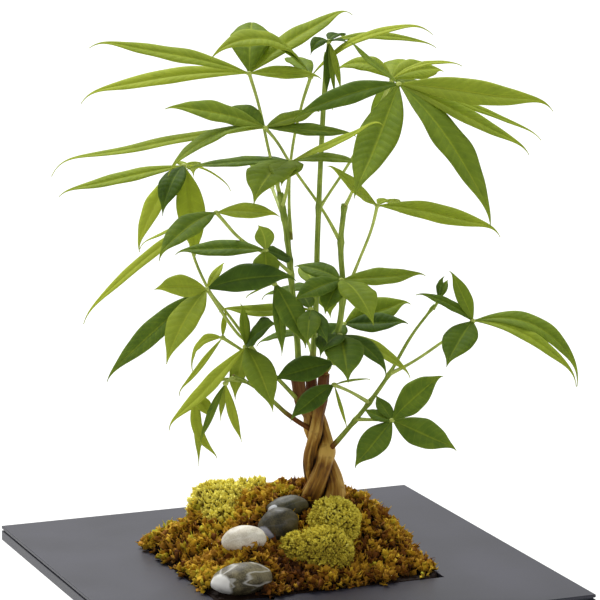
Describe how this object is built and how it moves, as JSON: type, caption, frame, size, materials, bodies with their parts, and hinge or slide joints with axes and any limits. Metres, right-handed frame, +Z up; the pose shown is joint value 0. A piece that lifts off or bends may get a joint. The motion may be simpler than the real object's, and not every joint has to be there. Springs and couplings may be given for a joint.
{
  "type": "potted money tree",
  "caption": "Potted money tree: braided trunk with hand-shaped leaves in a square matte grey pot with a broad flat rim, dressed with moss and pebbles.",
  "frame": {"origin": "centre of the pot's flat underside, on the surface the pot stands on", "axes": "X and Y along the pot's sides, +Z up; seen along (sin 22 deg, cos 22 deg) from the front, as in the picture, the near corner of the pot points towards the viewer's left"},
  "size_m": [0.2757, 0.26, 0.3839],
  "materials": {
    "grey_ceramic": "matte slate grey, faintly mottled",
    "potting_soil": "dark damp soil",
    "brown_moss": "dry curly brown-gold moss",
    "pale_moss": "yellow-green cushion moss",
    "dark_stone": "smooth dark pebble with pale veins",
    "pale_stone": "smooth cream-white pebble",
    "bark": "smooth brown bark with fine lengthwise grain",
    "green_stem": "smooth olive-green shoot",
    "upper_leaf": "glossy light green leaf with pale midrib",
    "lower_leaf": "glossy deep green leaf with pale midrib"
  },
  "bodies": {
    "root": {"pot": "grey_ceramic", "soil": "potting_soil", "moss_bed": "brown_moss", "moss_cushion_left": "pale_moss", "moss_cushion_front": "pale_moss", "pebble_back": "dark_stone", "pebble_middle": "dark_stone", "pebble_white": "pale_stone", "pebble_front": "dark_stone", "trunk_strand_left": "bark", "trunk_strand_rear": "bark", "trunk_strand_right": "bark", "stem_left": "green_stem", "stem_middle": "green_stem", "stem_right": "green_stem", "branch_right": "green_stem", "twig_left_upper": "green_stem", "twig_left_lower": "green_stem", "leaf_top_left": "upper_leaf", "leaf_crown_left": "upper_leaf", "leaf_crown_top": "upper_leaf", "leaf_top_right": "upper_leaf", "leaf_rear_top": "upper_leaf", "leaf_left_upper": "lower_leaf", "leaf_centre_upper": "lower_leaf", "leaf_left_rear": "upper_leaf", "leaf_left_middle": "lower_leaf", "leaf_right_arc": "upper_leaf", "leaf_rear_high": "lower_leaf", "leaf_left_stem": "lower_leaf", "leaf_left_lower": "lower_leaf", "leaf_low_left": "lower_leaf", "leaf_low_left_small": "upper_leaf", "leaf_low_left_tip": "lower_leaf", "leaf_low_left_end": "lower_leaf", "leaf_right_stem": "lower_leaf", "leaf_right_low_stem": "lower_leaf", "leaf_front_right": "lower_leaf", "leaf_front_left": "lower_leaf", "leaf_front_low": "lower_leaf", "leaf_right_end": "upper_leaf", "leaf_right_bud": "lower_leaf", "leaf_right_low": "lower_leaf", "leaf_left_low_stem": "lower_leaf", "leaf_front_centre": "lower_leaf", "leaf_rear_centre": "lower_leaf", "leaf_rear_low": "lower_leaf"}
  },
  "joints": []
}
